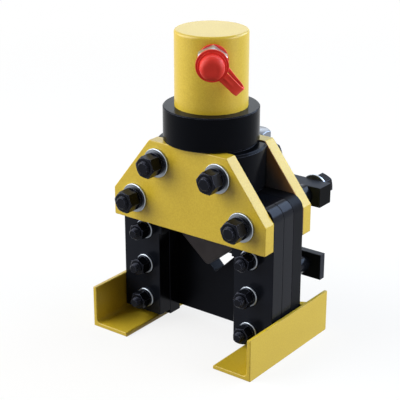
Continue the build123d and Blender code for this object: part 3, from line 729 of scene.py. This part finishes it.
def strapBand(look, axis, down, side, root, mid, radius):
    fold = look["foldMm"] * mm
    parts = ("tab", "fold", "back", "ring")
    tab, bend, back, neck = (Vector(look[part + "EdgesMm"]) * mm for part in parts)

    # Its middle line as (out from the axis, along it, way the outer face looks, edges, rib).
    line = []
    for i in range(look["tabRows"] + 1):
        t = i / look["tabRows"]
        out = look["startMm"] * mm * (1 - t) + fold * t
        line.append((out, mid + radius, axis, tab.lerp(bend, t), min(1, (1 - t) / look["ribFade"])))
    for i in range(1, look["foldRows"]):
        turn = math.radians(90 - 180 * i / look["foldRows"])
        face = down * math.cos(turn) + axis * math.sin(turn)
        edges = bend.lerp(back, max(0, 2 * i / look["foldRows"] - 1))  # narrows from half way round
        line.append((fold + radius * math.cos(turn), mid + radius * math.sin(turn), face, edges, 0))
    for i in range(look["backRows"] + 1):
        t = i / look["backRows"]
        out = fold * (1 - t) + look["ringEndMm"] * mm * t
        line.append((out, mid - radius, -axis, back.lerp(neck, t), 0))

    rows = []
    for out, along, face, (left, right), rib in line:
        centre = root + down * out + axis * along + side * ((left + right) / 2)
        section = strapSection(look, right - left, rib)
        rows.append([centre + side * across + face * proud for across, proud in section])
    bm = bmesh.new()
    loftRows(bm, rows)
    return smoothMesh("strapBand", bm)


def strapRing(look, axis, down, side, root, mid, radius):
    # Pulled to one side on the nipple by the bent band.
    eye = root + side * (look["ringPushMm"] * mm) + axis * (mid - radius)
    inner, outer = look["ringBoreMm"] / 2 * mm, look["ringOuterMm"] / 2 * mm
    section = strapSection(look, outer - inner)
    bm = bmesh.new()
    rings = []
    for i in range(look["ringRows"]):
        angle = math.tau * i / look["ringRows"]
        way = down * math.cos(angle) + side * math.sin(angle)
        middleLine = eye + way * (inner + outer) / 2
        rings.append([bm.verts.new(middleLine + way * a + axis * p) for a, p in section])
    for here, there in zip(rings, rings[1:] + rings[:1]):
        for k in range(len(section)):
            n = (k + 1) % len(section)
            bm.faces.new((here[k], here[n], there[n], there[k]))
    return smoothMesh("strapRing", bm)


def addCapStrap(look):
    place = strapPlace(look)
    strap = addPiece("cap_strap_band", strapBand(look, **place), plastic["redVinylBandLit"])
    ring = addPiece("strapRing", strapRing(look, **place), plastic["redVinylBandLit"])
    joined = joinedMesh(strap, ring)
    shadeSmooth(joined, look["sharpDegrees"])
    bpy.data.objects.remove(ring)
    strap.data = joined
    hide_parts("cap_strap")
    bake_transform(strap)


addCapStrap(capStrap)
print("cap strap moulded")


# Weld beads between each foot and its column

weldBead = {
    "legMm": 8.6,
    "footThicknessMm": 5,
    "sinkMm": 0.5,
    "startMm": 1.0,  # above the die plate's lower edge
    "stopMm": 0.5,  # below the foot's upper edge
    "bulgeMm": 1.0,
    "fullness": 0.7,  # below 1 the bead is fuller at its edges
    "rippleMm": 2.6,
    "rippleHeightMm": 0.4,
    "rippleLag": 0.6,  # share of a ripple by which it trails at its edges
    "rowsPerRipple": 6,
    "arcPoints": 12,
    "sharpDegrees": 60,
}


def addWeldBead(node, sideways, look):
    footLow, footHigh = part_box(node)
    dieLow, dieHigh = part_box("die_plate")
    outer = footHigh.x if sideways > 0 else -footLow.x
    web = outer - look["footThicknessMm"] * mm
    leg, sink = look["legMm"] * mm, look["sinkMm"] * mm
    rear = dieHigh.y
    start = Vector((web + sink, rear + leg, 0))
    end = Vector((dieHigh.x - leg, rear - sink, 0))
    corner = Vector((web + sink, rear - sink, 0))
    away = ((start + end) / 2 - corner).normalized()
    ripple = look["rippleMm"] * mm
    low, high = dieLow.z + look["startMm"] * mm, footHigh.z - look["stopMm"] * mm
    count = int((high - low) / ripple * look["rowsPerRipple"])
    rows = []
    for i in range(count + 1):
        z = low + (high - low) * i / count
        row = []
        for k in range(look["arcPoints"] + 1):
            t = k / look["arcPoints"]
            lag = look["rippleLag"] * ripple * (2 * t - 1) ** 2
            beat = abs(math.sin(math.pi * (z + lag) / ripple))
            height = (look["bulgeMm"] + look["rippleHeightMm"] * beat) * mm
            proud = height * math.sin(math.pi * t) ** look["fullness"]
            row.append(start.lerp(end, t) + away * proud + Vector((0, 0, z)))
        row.append(corner + Vector((0, 0, z)))
        rows.append([Vector((sideways * p.x, p.y, p.z)) for p in row])
    bm = bmesh.new()
    loftRows(bm, rows)
    mesh = smoothMesh(f"{node}Weld", bm, look["sharpDegrees"])
    piece = addPiece(f"{node}_weld", mesh, enamel)
    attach(piece, "frame")


addWeldBead("left_foot", -1, weldBead)
addWeldBead("right_foot", 1, weldBead)
print("weld beads laid")


# Studio: pale floor, white surround, four soft lamps, camera at the photographed angle.
# Azimuths run from straight in front towards the right. Places start where the ram's axis meets the floor.

studio = {
    "surroundDiffuse": 0.065,
    "surroundTint": (1.0, 0.86, 0.72),
    "floorMetres": 40,
    "floorColour": "#F4F4F2",
    "floorRoughness": 0.9,
    "bounceColour": "#756A5C",  # what the floor throws back on to the object
    "floorGlow": 0.82,  # share of plain white seen by the camera, which keeps the floor pale
    "whiteFarMetres": (0.5, 1.6),  # over this stretch the floor goes over to plain white
    "lampsAimAt": (0, 0, 0.19),
    "lamps": {
        "keyLeft": {"azimuth": -51, "elevation": 27, "metres": 1.9, "size": (2.0, 2.0), "watts": 62,
                    "tint": (1.0, 1.0, 0.98)},
        "sideRight": {"azimuth": 111, "elevation": 18, "metres": 1.9, "size": (1.3, 1.3), "watts": 32,
                      "tint": (1.0, 1.0, 0.98)},
        "rearRight": {"azimuth": 155, "elevation": 30, "metres": 2.0, "size": (1.4, 1.2), "watts": 31,
                      "tint": (0.57, 0.75, 1.0)},
        "rearLeft": {"azimuth": -143, "elevation": 24, "metres": 2.0, "size": (1.3, 1.0), "watts": 5,
                     "tint": (0.8, 0.9, 1.0)},
    },
    "cameraAt": (0.79147, -1.07154, 0.68723),
    "azimuth": 37.01,
    "elevation": 21.33,
    "lensMm": 109.0,
    "sensorMm": 36,
}


def whiteSeen(tree, strength):
    # Camera, glossy and transmitted rays all see the same plain white.
    rays = addNode(tree, "ShaderNodeLightPath")
    seen = addNode(tree, "ShaderNodeMath", {"operation": "MAXIMUM"},
                   {0: rays.outputs["Is Camera Ray"], 1: rays.outputs["Is Glossy Ray"]})
    seen = addNode(tree, "ShaderNodeMath", {"operation": "MAXIMUM"},
                   {0: seen.outputs[0], 1: rays.outputs["Is Transmission Ray"]})
    return addNode(tree, "ShaderNodeMath", {"operation": "MULTIPLY"},
                   {0: seen.outputs[0], 1: strength}).outputs[0]


def addSurround(look):
    world = bpy.data.worlds.new("studioSurround")
    scene.world = world
    world.use_nodes = True
    tree = world.node_tree
    shade = [look["surroundDiffuse"] * share for share in look["surroundTint"]] + [1]
    colour = addNode(tree, "ShaderNodeMix", {"data_type": "RGBA"},
                     {0: whiteSeen(tree, 1), 6: shade, 7: (1, 1, 1, 1)})
    tree.links.new(colour.outputs[2], tree.nodes["Background"].inputs["Color"])


def palePaper(look):
    # Matt white paper: white to the eye, dimmer in what it throws back, with the object's shadow kept.
    material, tree, shader = startMaterial(
        "palePaper", {"Roughness": look["floorRoughness"], "Specular IOR Level": 0.0})
    bounce, plain = linear(look["bounceColour"]), linear(look["floorColour"])
    paper = addNode(tree, "ShaderNodeMix", {"data_type": "RGBA"},
                    {0: whiteSeen(tree, 1), 6: bounce, 7: plain})
    tree.links.new(paper.outputs[2], shader.inputs["Base Color"])
    away = addNode(tree, "ShaderNodeVectorMath", {"operation": "LENGTH"},
                   {0: addNode(tree, "ShaderNodeTexCoord").outputs["Object"]})
    near, far = look["whiteFarMetres"]
    share = addNode(tree, "ShaderNodeMapRange", None,
                    {"Value": away.outputs["Value"], "From Min": near, "From Max": far,
                     "To Min": look["floorGlow"], "To Max": 1.0})
    glow = addNode(tree, "ShaderNodeEmission", None, {"Color": (1, 1, 1, 1), "Strength": 1.0})
    mixed = addNode(tree, "ShaderNodeMixShader", None,
                    {0: whiteSeen(tree, share.outputs[0]), 1: shader.outputs[0], 2: glow.outputs[0]})
    tree.links.new(mixed.outputs[0], tree.nodes["Material Output"].inputs["Surface"])
    return material


def addFloor(look):
    bm = bmesh.new()
    bmesh.ops.create_grid(bm, x_segments=1, y_segments=1, size=look["floorMetres"] / 2)
    mesh = bpy.data.meshes.new("studioFloor")
    bm.to_mesh(mesh)
    bm.free()
    floor = bpy.data.objects.new("studioFloor", mesh)
    scene.collection.objects.link(floor)
    mesh.materials.append(palePaper(look))


def addLamps(look, ramFoot):
    target = ramFoot + Vector(look["lampsAimAt"])
    for name, lamp in look["lamps"].items():
        data = bpy.data.lights.new(name, "AREA")
        data.energy = lamp["watts"]
        data.color = lamp["tint"]
        data.shape = "RECTANGLE"
        data.size, data.size_y = lamp["size"]
        light = bpy.data.objects.new(name, data)
        light.visible_camera = False
        scene.collection.objects.link(light)
        azimuth, elevation = math.radians(lamp["azimuth"]), math.radians(lamp["elevation"])
        towards = Vector((math.sin(azimuth) * math.cos(elevation),
                          -math.cos(azimuth) * math.cos(elevation), math.sin(elevation)))
        light.location = target + towards * lamp["metres"]
        light.rotation_euler = (-towards).to_track_quat("-Z", "Y").to_euler()


def addCamera(look, ramFoot):
    lens = bpy.data.cameras.new("photoCamera")
    lens.lens = look["lensMm"]
    lens.sensor_width = look["sensorMm"]
    camera = bpy.data.objects.new("photoCamera", lens)
    scene.collection.objects.link(camera)
    camera.location = ramFoot + Vector(look["cameraAt"])
    camera.rotation_euler = (math.radians(90 - look["elevation"]), 0, math.radians(look["azimuth"]))
    bpy.context.scene.camera = camera


ramAxis = middle("cylinder_barrel")
ramFoot = Vector((ramAxis.x, ramAxis.y, 0))
scene.view_settings.view_transform = "Standard"
addSurround(studio)
addFloor(studio)
addLamps(studio, ramFoot)
addCamera(studio, ramFoot)
print("studio set")
